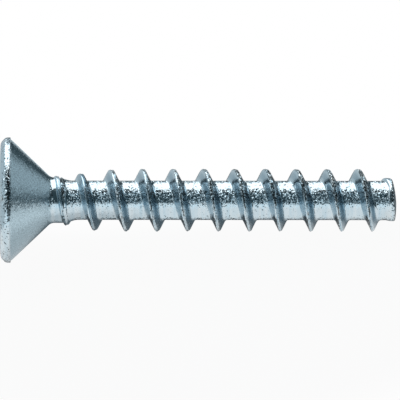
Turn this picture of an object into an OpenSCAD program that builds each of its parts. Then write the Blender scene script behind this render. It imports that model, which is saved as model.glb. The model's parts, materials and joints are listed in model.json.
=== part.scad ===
// Countersunk thread-forming screw for plastics, one cold-forged piece of zinc-plated steel.
// It lies on a table as it comes to rest: on the edge of its head and on its last thread crests.
// The table is the plane z = 0, and the tip points along +X.

/* [Head] */
// Diameter of the head across its rim
head_d = 8; // [6.5:0.1:10]
// Full angle of the countersunk underside
head_angle = 87; // [80:1:100]
// Height of the straight land round the rim
rim_land = 0.3; // [0.15:0.05:0.8]
// Step between the land and the start of the cone
rim_step = 0.05; // [0.02:0.01:0.1]
// Height of the bevel between the land and the flat top
rim_bevel_h = 0.28; // [0.1:0.02:0.5]
// Width of that bevel on the flat top
rim_bevel_w = 0.35; // [0.1:0.05:0.5]
// Radius of the fillet between the cone and the neck
neck_fillet = 0.55; // [0.2:0.05:0.9]

/* [Shank] */
// Length from the flat top of the head to the highest point of the tip
length = 25.2; // [16:0.1:40]
// Diameter of the plain neck under the head
neck_d = 2.9; // [2.7:0.05:3.3]
// Length of the straight part of the neck, fillet included
neck_len = 0.75; // [0.5:0.05:1.5]
// Length of the taper from the neck down to the core
taper_len = 0.85; // [0.4:0.05:1.5]
// Diameter of the core between the thread ridges
core_d = 2.5; // [2.2:0.05:2.65]
// Radius to which the blunt tip is domed
tip_dome_r = 5.5; // [4:0.5:8]
// How far the highest point of that dome stands off the axis
tip_dome_off = 0.33; // [0:0.01:0.5]
// Height of the collar that the rolling dies leave round the tip
collar_h = 0.06; // [0.02:0.01:0.12]
// Length of that collar
collar_len = 0.36; // [0.1:0.02:0.8]

/* [Thread] */
// Diameter over the thread crests
thread_d = 4; // [3.6:0.05:4.6]
// Advance of the thread in one turn
pitch = 1.96; // [1.6:0.02:2.4]
// Angle between the two flanks of the ridge
flank_angle = 54; // [30:1:60]
// Width of the crest
crest_w = 0.12; // [0.04:0.02:0.2]
// How far the first crest stands back from the end of the cone
crest_back = 0.08; // [0:0.01:0.3]
// Width and height of the fillet that spreads the foot of each flank
foot_fillet = 0.14; // [0.05:0.01:0.2]
// Height of the first, low turn of the ridge over the neck
low_ridge = 0.19; // [0.1:0.01:0.3]
// How far that first turn is pushed from the head by the end of the rolling dies
squeeze = 0.4; // [0:0.05:0.6]
// Turns over which the ridge drops from its full height near the tip
run_out = 0.25; // [0.15:0.05:0.6]
// Turns of low ridge left between that drop and the end
tail_turns = 0.52; // [0.3:0.02:0.8]
// Height of that low ridge over the core
tail_ridge = 0.19; // [0.1:0.01:0.3]
// Flat facets round each turn
turn_facets = 36; // [24:4:48]

/* [Drive recess] */
// Diameter of the cross recess over its wings
recess_d = 4.5; // [3.8:0.1:5.2]
// Depth of the wings
recess_depth = 2; // [1.4:0.1:2.2]
// Width of a wing at the top face
wing_w = 1.1; // [0.8:0.05:1.3]
// Angle by which the outer end of a wing leans inwards
wing_lean = 26; // [15:1:30]
// Diameter of the round middle at the top face
middle_d = 2.5; // [2:0.1:2.8]
// Angle by which the wall of the middle leans inwards
middle_lean = 7; // [3:1:12]
// Width of the four corner grooves between the wings
corner_w = 0.4; // [0.2:0.05:0.6]
// How far those grooves stand out of the middle
corner_out = 0.18; // [0.1:0.02:0.3]
// Length of the marks on the top face, in line with the corner grooves
mark_len = 0.9; // [0.5:0.1:1.2]
// Width of the marks
mark_w = 0.16; // [0.1:0.02:0.3]
// Depth of the marks
mark_depth = 0.1; // [0.05:0.05:0.2]

/* [Hidden] */
$fn = 96;
// Overlap that keeps joined solids and cuts clear of touching faces
lap = 0.05;
head_r = head_d / 2;
neck_r = neck_d / 2;
core_r = core_d / 2;
thread_r = thread_d / 2;
recess_r = recess_d / 2;
rim_end = rim_bevel_h + rim_land;
cone_end = rim_end + (head_r - rim_step - neck_r) / tan(head_angle / 2);
neck_end = cone_end + neck_len;
taper_end = neck_end + taper_len;

// Place of the ridge: turns are counted from the first crest on the -X side, close to the head
first_crest = cone_end - crest_back;
first_turn = -0.35;
last_turn = (length - first_crest) / pitch;
// Turns at the head end: where the low ridge has risen, and where it grows to full height
fade_turns = 0.6;
low_turns = 0.9;
rise_turns = 0.9;
// How deep the ridge's feet and its flat underside reach into the shank
foot_sink = 0.012;
root_sink = 0.2;

function smooth(t) = let (u = min(1, max(0, t))) u * u * (3 - 2 * u);

// Where the crest stands along the screw, the first turn being squeezed towards the tip
function crest_z(turn) = first_crest + pitch * turn + squeeze * pow(max(0, 1 - turn), 2);

// Radius of the crest: rising from the neck, a low turn, full height, the drop and the low tail
function crest_r(turn) =
    let (low_r = neck_r + low_ridge)
    let (sunk_r = neck_r - lap)
    let (start = sunk_r + (low_r - sunk_r) * smooth((turn - first_turn) / fade_turns))
    let (full = start + (thread_r - start) * smooth((turn - low_turns) / rise_turns))
    let (end_r = core_r - lap / 2)
    let (tail = end_r + (core_r + tail_ridge - end_r) * smooth(2 * (last_turn - turn) / tail_turns))
    tail + (full - tail) * smooth((last_turn - tail_turns - turn) / run_out);

// Half width of the ridge at a given radius, with straight flanks
function flank_at(turn, r) = crest_w / 2 + max(0, crest_r(turn) - r) * tan(flank_angle / 2);

// Radius of the shank's own surface where the ridge stands on it
function shank_r(z) =
    z < neck_end ? neck_r :
    z < taper_end ? neck_r + (core_r - neck_r) * (z - neck_end) / taper_len : core_r;

// The ridge's section at one turn, as [along the screw, radius] points from foot to foot
function ridge_section(turn) =
    let (z = crest_z(turn))
    let (crest = crest_r(turn))
    let (base = shank_r(z))
    let (height = max(lap, crest - base))
    let (fillet = min(foot_fillet, height / 2))
    let (knee = flank_at(turn, base + fillet))
    let (foot = knee + fillet)
    let (sunk = core_r - root_sink)
    [
        [z - foot - lap, sunk],
        [z - foot, base - foot_sink],
        [z - knee, base + fillet],
        [z - crest_w / 2, crest],
        [z + crest_w / 2, crest],
        [z + knee, base + fillet],
        [z + foot, base - foot_sink],
        [z + foot + lap, sunk]
    ];

// How far beside the lowest line of the screw a crest can touch the table, in turns
touch_reach = 0.15;
touch_step = 0.015;
// Lean at which both the head's rim and the thread touch the table, with a given phase of the
// thread's turns facing it
function lean_at(phase) = atan(min([
    for (n = [1:floor(last_turn - phase)], side = [-touch_reach:touch_step:touch_reach])
        let (turn = min(n + phase + side, last_turn))
        (head_r - crest_r(turn) * cos(360 * side)) / (crest_z(turn) - rim_end)
]));

// The screw rolls until it lies lowest, which is where its lean is greatest
roll_steps = 180;
leans = [for (i = [0:roll_steps - 1]) lean_at(i / roll_steps)];
lean = max(leans);
table_phase = [for (i = [0:roll_steps - 1]) if (leans[i] == lean) i / roll_steps][0];
roll = 360 * table_phase - 180;
lift = rim_end * sin(lean) + head_r * cos(lean);
// Ends of the leaning screw along X, which set its middle over the origin
back_x = -(head_r - rim_bevel_w) * sin(lean);
dome_x = (length - tip_dome_r) * cos(lean) - tip_dome_off * cos(roll) * sin(lean);
front_x = dome_x + tip_dome_r;

// Half section of head, neck and core: radius across, length up
module blank_section() {
    corner = neck_fillet * tan(head_angle / 4);
    polygon([
        [0, 0],
        [head_r - rim_bevel_w, 0],
        [head_r, rim_bevel_h],
        [head_r, rim_end],
        [head_r - rim_step, rim_end],
        [neck_r, cone_end],
        [neck_r, neck_end],
        [core_r, taper_end],
        [core_r, length - collar_len],
        [core_r + collar_h, length - collar_len + collar_h],
        [core_r + collar_h, length + lap],
        [0, length + lap]
    ]);
    difference() {
        polygon([
            [neck_r, cone_end],
            [neck_r + corner * sin(head_angle / 2), cone_end - corner * cos(head_angle / 2)],
            [neck_r + neck_fillet, cone_end + corner],
            [neck_r, cone_end + corner]
        ]);
        translate([neck_r + neck_fillet, cone_end + corner]) circle(r = neck_fillet);
    }
}

// Everything past the domed end of the tip
module past_tip() {
    difference() {
        translate([-thread_d, -thread_d, length - pitch / 2])
            cube([2 * thread_d, 2 * thread_d, pitch]);
        translate([tip_dome_off, 0, length - tip_dome_r]) sphere(r = tip_dome_r);
    }
}

// The helical ridge, right-handed, swept through its sections
module thread_ridge() {
    steps = ceil((last_turn - first_turn) * turn_facets);
    sections = [
        for (i = [0:steps])
            let (turn = first_turn + (last_turn - first_turn) * i / steps)
            [for (p = ridge_section(turn)) [-p[1] * cos(360 * turn), -p[1] * sin(360 * turn), p[0]]]
    ];
    m = len(sections[0]);
    points = [for (s = sections) each s];
    sides = [
        for (i = [0:steps - 1], j = [0:m - 1])
            let (k = (j + 1) % m)
            each [
                [i * m + j, i * m + k, (i + 1) * m + j],
                [i * m + k, (i + 1) * m + k, (i + 1) * m + j]
            ]
    ];
    first_end = [for (j = [m - 1:-1:0]) j];
    last_end = [for (j = [0:m - 1]) steps * m + j];
    polyhedron(points = points, faces = [each sides, first_end, last_end], convexity = 10);
}

// One leaning conical body of the recess, widest at the top face
module leaning_cone(r, lean_angle, depth) {
    translate([0, 0, -lap])
        cylinder(r1 = r + lap * tan(lean_angle), r2 = r - depth * tan(lean_angle), h = depth + lap);
}

// A slot across the middle, as deep as the wings
module cross_slot(w, turn) {
    rotate([0, 0, turn])
        translate([-recess_d, -w / 2, -2 * lap])
            cube([2 * recess_d, w, 2 * recess_depth]);
}

// The cross recess with corner grooves, cut into the top face
module drive_recess() {
    middle_r = middle_d / 2;
    bottom_r = middle_r - recess_depth * tan(middle_lean);
    intersection() {
        leaning_cone(recess_r, wing_lean, recess_depth);
        union() {
            cross_slot(wing_w, 0);
            cross_slot(wing_w, 90);
        }
    }
    intersection() {
        leaning_cone(middle_r + corner_out, middle_lean, recess_depth);
        union() {
            cross_slot(corner_w, 45);
            cross_slot(corner_w, 135);
        }
    }
    leaning_cone(middle_r, middle_lean, recess_depth);
    translate([0, 0, recess_depth - lap])
        cylinder(r1 = bottom_r - lap, r2 = 0, h = bottom_r / 2);
}

// Marks on the top face, in line with the corner grooves
module face_marks() {
    for (turn = [45:90:315])
        rotate([0, 0, turn])
            translate([recess_r - mark_len / 2, -mark_w / 2, -lap])
                cube([mark_len, mark_w, mark_depth + lap]);
}

// The whole screw, its axis along +Z from the top face
module upright_screw() {
    difference() {
        union() {
            rotate_extrude() blank_section();
            thread_ridge();
        }
        past_tip();
        drive_recess();
        face_marks();
    }
}

// The screw laid down on the table, with the crests of the table phase on its lower side
module screw() {
    color("lightsteelblue")
        translate([-(back_x + front_x) / 2, 0, lift])
            rotate([0, 90 + lean, 0])
                rotate([0, 0, -roll])
                    upright_screw();
}

screw();
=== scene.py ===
"""A countersunk thread-forming screw for plastics, cold-forged and zinc plated, on a pale table."""

import json
import logging
import math
from dataclasses import dataclass, field
from enum import Enum
from typing import Any, Sequence

import bmesh
import bpy
import numpy as np
from mathutils import Matrix, Vector
from mathutils.geometry import delaunay_2d_cdt


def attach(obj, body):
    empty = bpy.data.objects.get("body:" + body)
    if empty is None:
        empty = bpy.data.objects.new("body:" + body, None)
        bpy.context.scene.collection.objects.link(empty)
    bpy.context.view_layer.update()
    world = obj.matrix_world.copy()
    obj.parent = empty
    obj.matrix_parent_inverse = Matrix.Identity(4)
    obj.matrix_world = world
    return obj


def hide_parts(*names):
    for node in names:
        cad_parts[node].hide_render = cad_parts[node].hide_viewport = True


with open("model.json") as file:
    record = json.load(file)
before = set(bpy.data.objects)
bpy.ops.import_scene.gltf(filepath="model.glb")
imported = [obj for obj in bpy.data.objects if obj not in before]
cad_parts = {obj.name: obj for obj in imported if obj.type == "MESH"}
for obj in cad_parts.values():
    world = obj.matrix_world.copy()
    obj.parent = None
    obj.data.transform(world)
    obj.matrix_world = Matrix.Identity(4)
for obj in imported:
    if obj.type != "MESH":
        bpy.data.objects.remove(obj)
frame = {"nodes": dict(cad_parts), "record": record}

log = logging.getLogger("screw")
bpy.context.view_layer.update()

MM = 0.001
TURN = 2 * math.pi
WELD = 2e-4 * MM
SLIVER = 1e-4 * MM
NOTHING = 1e-9

Tree = bpy.types.NodeTree
Socket = bpy.types.NodeSocket
Pair = tuple[float, float]
Triple = tuple[float, float, float]


class Shade(Enum):
    """The colours of the plated steel, the table, the lamp, the cards and the room, as sRGB hex."""

    ZINC = "#D0DDE3"
    ZINC_BLUE = "#BCD2DD"
    ZINC_WARM = "#CFCBC2"
    ZINC_DEEP_AND_SHADE = "#809DAD"
    # Brown: wear on the tip's edge, and a line of painted shade on the crests' seams.
    ZINC_RUBBED_AND_SHADE = "#6E665B"
    # Darker flank colour: bluer plating in part, and painted shade on the flanks and the camera-side band.
    ZINC_CAST = "#B2C8D2"
    # Black for the scale specks, most of them painted shade along edges, grooves and the highlight's border.
    SCALE = "#2B3437"
    TABLE = "#878F93"
    LAMP = "#FFFFFF"
    CARD = "#E8F0F4"
    ROOM = "#7FA3AF"


class Side(Enum):
    """Where the pale cards stand, as the direction from the screw: along it, away from the camera, up."""

    FRONT = (0.0, -0.82, -0.57)
    HEAD_END = (-0.92, 0.35, 0.15)
    TIP_END = (0.88, 0.4, 0.22)
    BACK = (-0.6, 0.7, -0.38)
    SWEEP = (0.134, 0.847, -0.515)


def linear(shade: Shade) -> tuple[float, float, float, float]:
    """Turns an sRGB hex colour into the linear values that a shader wants.

    Args:
        shade: The named colour.

    Returns:
        Red, green, blue and an alpha of 1.
    """
    code = shade.value.lstrip("#")
    parts = [int(code[i:i + 2], 16) / 255 for i in (0, 2, 4)]
    red, green, blue = [c / 12.92 if c <= 0.04045 else ((c + 0.055) / 1.055) ** 2.4 for c in parts]
    return red, green, blue, 1.0


def smooth_step(value: np.ndarray) -> np.ndarray:
    """Eases a value from 0 to 1."""
    clipped = np.clip(value, 0, 1)
    return clipped * clipped * (3 - 2 * clipped)


def rise(value: np.ndarray, start: float | np.ndarray, over: float) -> np.ndarray:
    """Eases from 0 at a start to 1 at a distance past it."""
    return smooth_step((value - start) / over)


def fall(value: np.ndarray, end: float | np.ndarray, over: float) -> np.ndarray:
    """Eases from 1, at a distance before an end, to 0 at the end."""
    return smooth_step((end - value) / over)


@dataclass(frozen=True)
class Band:
    """A band of angles round the screw: its middle, half of its width and its soft edge, in turns."""

    middle: float
    reach: float
    edge: float

    def share(self, value: np.ndarray) -> np.ndarray:
        """Works out the share of the band at a place: 1 inside, 0 outside."""
        return fall(np.abs(value - self.middle), self.reach, self.edge)


def blend_max(one: np.ndarray, other: np.ndarray, reach: np.ndarray) -> np.ndarray:
    """Takes the larger of two heights, with a fillet where they meet.

    Args:
        one: The first height.
        other: The second height.
        reach: Difference of height within which the fillet acts.

    Returns:
        The blended height.
    """
    near = np.maximum(reach - np.abs(one - other), 0)
    return np.maximum(one, other) + near * near / (4 * reach)


def ripple(phase: np.ndarray, steps: Sequence[Triple]) -> np.ndarray:
    """Adds up a few waves, the small unevenness of a rolled or forged surface.

    Args:
        phase: Where along the surface, in turns.
        steps: Waves in a turn, height and starting phase of each wave.

    Returns:
        The sum of the waves at each place.
    """
    return sum(height * np.sin(TURN * (waves * phase + start)) for waves, height, start in steps)


class WearAndShade(Enum):
    """The values painted on the surface: how far each point shows that kind of wear or painted shade.

    Pitted steel scatters the light in specks, and matted steel is as the forging die left it, save a band on
    the camera side whose tint is painted shade. The darker flanks are partly bluer plating and partly
    painted shade;
    the brown is wear on the tip's edge and a line of painted shade on the crests' seams; the black specks
    are a little scale and mostly painted shade.
    """

    PITTED = "pitted"
    MATTED = "matted"
    FLANK_PLATING_AND_SHADE = "flank_plating_and_shade"
    RUBBED_AND_SHADED = "rubbed_and_shaded"
    SCALED = "scaled"


@dataclass(frozen=True)
class Blank:
    """The turned form under the thread: head, cone, neck and core, in millimetres from the flat top."""

    head_d: float = 8.0
    head_angle: float = 87.0
    rim_bevel_h: float = 0.28
    rim_bevel_w: float = 0.35
    rim_land: float = 0.36
    # The land: how far its upper edge stands in, how far before its end it is widest, its drop from there.
    rim_slope: float = 0.035
    rim_crown: float = 0.17
    rim_drop: float = 0.01
    # The step in to the cone's edge. Its two lower corners stand past the land and inside the cone's edge.
    rim_step: float = 0.107
    rim_wall: Pair = (0.01, 0.035)
    rim_foot: Pair = (0.07, 0.067)
    rim_inner: float = 0.3
    # How much the rounding takes off each corner, from the flat top to the cone.
    rim_rounds: tuple[float, ...] = (0.12, 0.1, 0.05, 0.035, 0.01, 0.012)
    neck_d: float = 2.9
    neck_fillet: float = 0.55
    # Where the neck begins to taper to the core, and how far that place sways round the screw.
    taper_at: float = 3.8
    taper_sway: float = 0.2
    taper_len: float = 0.95
    core_d: float = 2.5
    length: float = 25.2
    tip_dome_r: float = 5.5
    tip_dome_off: float = 0.33
    collar_h: float = 0.06
    collar_len: float = 0.5

    @property
    def head_r(self) -> float:
        """Radius of the rim."""
        return self.head_d / 2

    @property
    def neck_r(self) -> float:
        """Radius of the neck."""
        return self.neck_d / 2

    @property
    def core_r(self) -> float:
        """Radius of the core."""
        return self.core_d / 2

    @property
    def half_angle(self) -> float:
        """Half of the head's angle, in radians."""
        return math.radians(self.head_angle / 2)

    @property
    def rim_end(self) -> float:
        """Where the land ends and the cone begins."""
        return self.rim_bevel_h + self.rim_land

    @property
    def cone_end(self) -> float:
        """Where the cone's line meets the neck's."""
        return self.rim_end + (self.head_r - self.rim_step - self.neck_r) / math.tan(self.half_angle)

    def radius(self, along: np.ndarray, phase: np.ndarray) -> np.ndarray:
        """Works out the radius from the cone to the tip; the neck ends along the slope of the first turn.

        Args:
            along: Distances from the flat top, past the rim.
            phase: Angle round the screw from the photograph's upper side, in turns.

        Returns:
            The radius at each distance.
        """
        cone = self.head_r - self.rim_step - (along - self.rim_end) * math.tan(self.half_angle)
        corner = self.neck_fillet * math.tan(self.half_angle / 2)
        start = self.cone_end - corner * math.cos(self.half_angle)
        inside = np.clip(along - self.cone_end - corner, -self.neck_fillet, 0)
        fillet = self.neck_r + self.neck_fillet - np.sqrt(self.neck_fillet ** 2 - inside ** 2)
        neck_end = self.taper_at - self.taper_sway * np.cos(TURN * phase)
        taper = rise(along, neck_end, self.taper_len)
        shank = fillet - (self.neck_r - self.core_r) * taper
        collar = rise(along, self.length - self.collar_len, self.collar_h)
        return np.where(along < start, cone, shank + self.collar_h * collar)

    def tip_height(self, side: np.ndarray, down: np.ndarray) -> np.ndarray:
        """Works out where the domed end stands.

        Args:
            side: Distance off the axis along the line of sight.
            down: Distance off the axis towards the side that the dome leans to.

        Returns:
            The distance from the flat top.
        """
        off = side ** 2 + (down - self.tip_dome_off) ** 2
        return self.length - self.tip_dome_r + np.sqrt(self.tip_dome_r ** 2 - off)

    def rim_outline(self) -> list[Pair]:
        """Lists the rim's section from the flat top to the cone.

        The land slopes a little towards the flat top, and a step takes it in to the cone.

        Returns:
            Points as distance from the flat top and radius.
        """
        flat = self.head_r - self.rim_bevel_w
        cone = self.head_r - self.rim_step
        corners = [(0.0, flat), (self.rim_bevel_h, self.head_r - self.rim_slope),
                   (self.rim_end - self.rim_crown, self.head_r), (self.rim_end, self.head_r - self.rim_drop),
                   (self.rim_end + self.rim_wall[0], cone - self.rim_wall[1]),
                   (self.rim_end + self.rim_foot[0], cone - self.rim_foot[1])]
        rounded = [(*corner, size) for corner, size in zip(corners, self.rim_rounds)]
        inner = (0.0, flat - self.rim_inner, 0.0)
        return round_corners([inner, *rounded, (self.cone_end, self.neck_r, 0.0)])[1:-1]


def round_corners(corners: Sequence[Triple], steps: int = 5) -> list[Pair]:
    """Rounds the corners of a line.

    Args:
        corners: Points as x, y and the length that the rounding takes off each side.
        steps: Points on each rounded corner.

    Returns:
        The line's points.
    """
    line = [corners[0][:2]]
    for before, corner, after in zip(corners, corners[1:], corners[2:]):
        here = np.array(corner[:2])
        ends = []
        for other in (before, after):
            way = np.array(other[:2]) - here
            ends.append(here + way / np.linalg.norm(way) * corner[2])
        for t in np.arange(steps + 1) / steps:
            point = ends[0] * (1 - t) ** 2 + here * 2 * t * (1 - t) + ends[1] * t ** 2
            line.append((float(point[0]), float(point[1])))
    line.append(corners[-1][:2])
    return line


@dataclass(frozen=True)
class Thread:
    """The rolled ridge, in millimetres and turns; turn 0 is the first crest on the picture's upper side."""

    blank: Blank
    thread_d: float = 4.0
    pitch: float = 1.96
    flank_angle: float = 49.0
    crest_w: float = 0.175
    crest_back: float = 0.08
    foot_fillet: float = 0.24
    foot_least: float = 0.3
    head_foot: float = 0.75
    low_ridge: float = 0.19
    squeeze: float = 0.4
    # How the crest rises: out of the cone, along a low turn, and up to full height.
    first_turn: float = -0.35
    fade_turns: float = 0.6
    low_turns: float = 0.75
    rise_turns: float = 0.81
    settle: float = 0.055
    settled_turn: float = 2.4
    settle_turns: float = 0.4
    # What the two rolling dies leave: crests that stand a little aside or run a little wider.
    die_shift: float = 0.02
    die_spread: float = 0.055
    front_shift: float = 0.1
    front_turn: float = 3.6
    front_turns: float = 1.6
    start_turn: float = 1.6
    start_turns: float = 0.65
    start_shift: float = 0.055
    start_spread: float = 0.045
    # How the ridge ends: it drops over part of a turn and runs on as a low tail.
    run_out: float = 0.25
    tail_turns: float = 0.52
    tail_ridge: float = 0.19
    tail_shift: float = 0.11
    tail_spread: float = 0.12
    tail_ease: float = 0.25
    # The rounded crest with the seam that rolling leaves beside its middle.
    crest_round: float = 0.028
    seam_w: float = 0.03
    seam_depth: float = 0.06
    seam_shift: float = 0.035
    # The thin second lip beside the first turn, and the groove between the two.
    lip_gap: float = 0.34
    lip_close: float = 0.5
    lip_close_turns: float = 0.5
    lip_h: float = 0.075
    lip_w: float = 0.06
    lip_groove: float = 0.15
    lip_groove_w: float = 0.048
    lip_turns: Pair = (-0.2, 0.8)
    lip_ease: float = 0.3
    # How far under the surface the ridge begins and ends.
    sunk: float = 0.05
    # Unevenness along the ridge, as waves in a turn, height and starting phase.
    uneven_height: tuple[Triple, ...] = ((0.61, 0.006, 0.1), (2.3, 0.004, 0.4), (7.1, 0.003, 0.7))
    uneven_crest: tuple[Triple, ...] = ((1.7, 0.006, 0.2), (5.3, 0.004, 0.8))
    uneven_seam: tuple[Triple, ...] = ((3.1, 0.008, 0.5),)

    @property
    def first_crest(self) -> float:
        """Place of turn 0 before the dies' end squeezes it."""
        return self.blank.cone_end - self.crest_back

    @property
    def last_turn(self) -> float:
        """Turn at which the ridge ends."""
        return (self.blank.length - self.first_crest) / self.pitch

    def crest(self, turn: np.ndarray) -> np.ndarray:
        """Works out where the crest stands along the screw: squeezed at the start, shifted by the dies.

        Args:
            turn: Turns from the first crest.

        Returns:
            Distances from the flat top.
        """
        held = np.maximum(turn, self.first_turn)
        squeezed = self.squeeze * np.maximum(0, 1 - held) ** 2
        slope = self.pitch - 2 * self.squeeze * (1 - self.first_turn)
        dies = self.die_shift * np.cos(TURN * held) - self.start_shift * self.near_start(held)
        dies -= self.tail_shift * self.near_end(held)
        dies += self.front_shift * np.sin(TURN * held) * rise(held, self.front_turn, self.front_turns)
        return self.first_crest + self.pitch * held + squeezed + (turn - held) * slope + dies

    def near_start(self, turn: np.ndarray) -> np.ndarray:
        """Works out how near the place is to the first full turns, where the dies take hold."""
        return np.exp(-((turn - self.start_turn) / self.start_turns) ** 2)

    def near_end(self, turn: np.ndarray) -> np.ndarray:
        """Works out how near the place is to the last half turn, where the ridge runs out."""
        return rise(turn, self.last_turn - self.tail_turns, self.tail_ease)

    def crest_radius(self, turn: np.ndarray) -> np.ndarray:
        """Works out how high the crest stands: the rise, a low turn, full height, the drop and the tail.

        Args:
            turn: Turns from the first crest.

        Returns:
            Radii of the crest.
        """
        below = self.blank.neck_r - self.sunk
        low = below + (self.low_ridge + self.sunk) * rise(turn, self.first_turn, self.fade_turns)
        top = self.thread_d / 2 - self.settle * fall(turn, self.settled_turn, self.settle_turns)
        full = low + (top - low) * rise(turn, self.low_turns, self.rise_turns)
        end = self.blank.core_r - self.sunk
        tail = end + (self.sunk + self.tail_ridge) * fall(turn, self.last_turn, self.tail_turns / 2)
        drop = fall(turn, self.last_turn - self.tail_turns, self.run_out)
        return tail + (full - tail) * drop + ripple(turn, self.uneven_height) * drop

    def ridge(self, turn: np.ndarray, off: np.ndarray) -> np.ndarray:
        """Works out the ridge's height at a place beside its crest.

        Args:
            turn: Turn of the crest on that side of the screw.
            off: Distance from that crest along the screw.

        Returns:
            Radii of the ridge alone, which falls away under the core.
        """
        width = self.crest_w + self.die_spread * np.cos(TURN * turn)
        width += self.start_spread * self.near_start(turn) + self.tail_spread * self.near_end(turn)
        beside = np.abs(off - self.wander(turn)) - width / 2
        rounded = (beside + np.sqrt(beside ** 2 + self.crest_round ** 2)) / 2
        height = self.crest_radius(turn) - rounded / math.tan(math.radians(self.flank_angle / 2))
        seam = self.seam_depth * np.exp(-((off - self.seam(turn)) / self.seam_w) ** 2)
        return height - seam

    def wander(self, turn: np.ndarray) -> np.ndarray:
        """Works out how far the crest strays to the side."""
        return ripple(turn, self.uneven_crest)

    def seam(self, turn: np.ndarray) -> np.ndarray:
        """Works out where the seam runs that the rolling leaves in the crest, beside its middle."""
        return self.wander(turn) + self.seam_shift + ripple(turn, self.uneven_seam)

    def lip_place(self, turn: np.ndarray) -> tuple[np.ndarray, np.ndarray]:
        """Works out how strong the second lip beside the first turn is, and its distance from the crest."""
        lives = rise(turn, self.lip_turns[0], self.lip_ease) * fall(turn, self.lip_turns[1], self.lip_ease)
        return lives, self.lip_gap * (1 - self.lip_close * smooth_step(turn / self.lip_close_turns))

    def groove(self, turn: np.ndarray, off: np.ndarray) -> np.ndarray:
        """Works out the share of the groove between the first turn and the lip beside it.

        Args:
            turn: Turn of the crest on that side of the screw.
            off: Distance from that crest along the screw.

        Returns:
            1 in the middle of the groove, 0 away from it.
        """
        lives, gap = self.lip_place(turn)
        return lives * np.exp(-((off - gap + self.lip_groove) / self.lip_groove_w) ** 2)

    def lip(self, turn: np.ndarray, off: np.ndarray) -> np.ndarray:
        """Works out the thin second lip that runs beside the first, low turn.

        Args:
            turn: Turn of the crest on that side of the screw.
            off: Distance from that crest along the screw.

        Returns:
            Height of the lip over the neck, below 0 in its groove.
        """
        lives, gap = self.lip_place(turn)
        return self.lip_h * (lives * np.exp(-((off - gap) / self.lip_w) ** 2) - self.groove(turn, off))

    def radius(self, along: np.ndarray, phase: np.ndarray) -> np.ndarray:
        """Works out the radius of blank and ridge together.

        Args:
            along: Distances from the flat top.
            phase: Angle round the screw from the photograph's upper side, in turns.

        Returns:
            The outer radius at each place.
        """
        result = self.blank.radius(along, phase)
        for turn in range(-1, math.ceil(self.last_turn) + 1):
            here = turn + phase
            off = along - self.crest(here)
            close = np.abs(off) < self.pitch
            live = close & (here > self.first_turn) & (here < self.last_turn)
            share = (self.crest_radius(here) - self.blank.neck_r) / (self.thread_d / 2 - self.blank.neck_r)
            side = np.where(off < 0, self.head_foot, 1)
            fillet = self.foot_fillet * np.clip(share, self.foot_least, 1) * side
            result = np.where(live, blend_max(result, self.ridge(here, off), fillet), result)
            result = np.where(close, result + self.lip(here, off), result)
        return result


@dataclass(frozen=True)
class Recess:
    """The cross recess with corner grooves, in millimetres."""

    across: float = 4.5
    depth: float = 2.0
    wing_w: float = 1.1
    wing_lean: float = 26.0
    middle_d: float = 2.5
    middle_lean: float = 7.0
    corner_w: float = 0.4
    corner_out: float = 0.18
    mark_len: float = 0.9
    mark_w: float = 0.16
    mark_depth: float = 0.1
    # The rounded mouth, the walls and the pointed floor, as depths with shares of the edge or the floor.
    edge: float = 0.045
    edge_steps: tuple[Pair, ...] = ((0.012, 0.45), (0.035, 0.12), (0.07, 0.0))
    wall_depths: tuple[float, ...] = (0.5, 1.0, 1.5)
    floor_round: float = 0.03
    floor_share: float = 0.97
    floor_cone: tuple[Pair, ...] = ((1.0, 0.0), (0.6, 0.2), (0.25, 0.38))
    floor_point: float = 0.45
    # Points on each stretch of the outline and on each end of a mark.
    side_points: int = 7
    mark_points: int = 7

    def outline(self, depth: float, grow: float = 0.0) -> np.ndarray:
        """Lists the points of the recess at one depth.

        Args:
            depth: Depth under the flat top.
            grow: How far the points stand out of the true outline.

        Returns:
            Points as x and y, once round the recess.
        """
        wing = self.across / 2 - depth * math.tan(math.radians(self.wing_lean)) + grow
        middle = self.middle_d / 2 - depth * math.tan(math.radians(self.middle_lean)) + grow
        groove = middle + self.corner_out
        wing_half = self.wing_w / 2 + grow
        groove_half = self.corner_w / 2 + grow
        wing_end = math.asin(wing_half / wing)
        wing_foot = math.asin(wing_half / middle)
        groove_foot = math.asin(groove_half / middle)
        groove_end = math.asin(groove_half / groove)
        eighth = math.pi / 4
        corners = [(wing, 0.0), (wing, wing_end), (middle, wing_foot), (middle, eighth - groove_foot),
                   (groove, eighth - groove_end), (groove, eighth)]
        half = [polar_step(one, other, i / self.side_points)
                for one, other in zip(corners, corners[1:]) for i in range(self.side_points)]
        whole = half + [(r, 2 * eighth - angle) for r, angle in [corners[-1]] + half[:0:-1]]
        points = [(r * math.cos(angle + quarter * 2 * eighth), r * math.sin(angle + quarter * 2 * eighth))
                  for quarter in range(4) for r, angle in whole]
        return np.array(points)

    def mark(self, quarter: int) -> np.ndarray:
        """Lists the outline of one mark on the flat top, in line with a corner groove.

        Args:
            quarter: Which of the four marks.

        Returns:
            Points as x and y.
        """
        middle = self.across / 2
        half_l, half_w = self.mark_len / 2, self.mark_w / 2
        angle = math.pi / 4 + quarter * math.pi / 2
        ends = []
        for side in (1, -1):
            for i in range(self.mark_points):
                bend = math.pi * (i / (self.mark_points - 1) - side / 2)
                along = middle + side * (half_l - half_w) + half_w * math.cos(bend)
                ends.append((along, half_w * math.sin(bend)))
        turned = [(x * math.cos(angle) - y * math.sin(angle), x * math.sin(angle) + y * math.cos(angle))
                  for x, y in ends]
        return np.array(turned)


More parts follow.
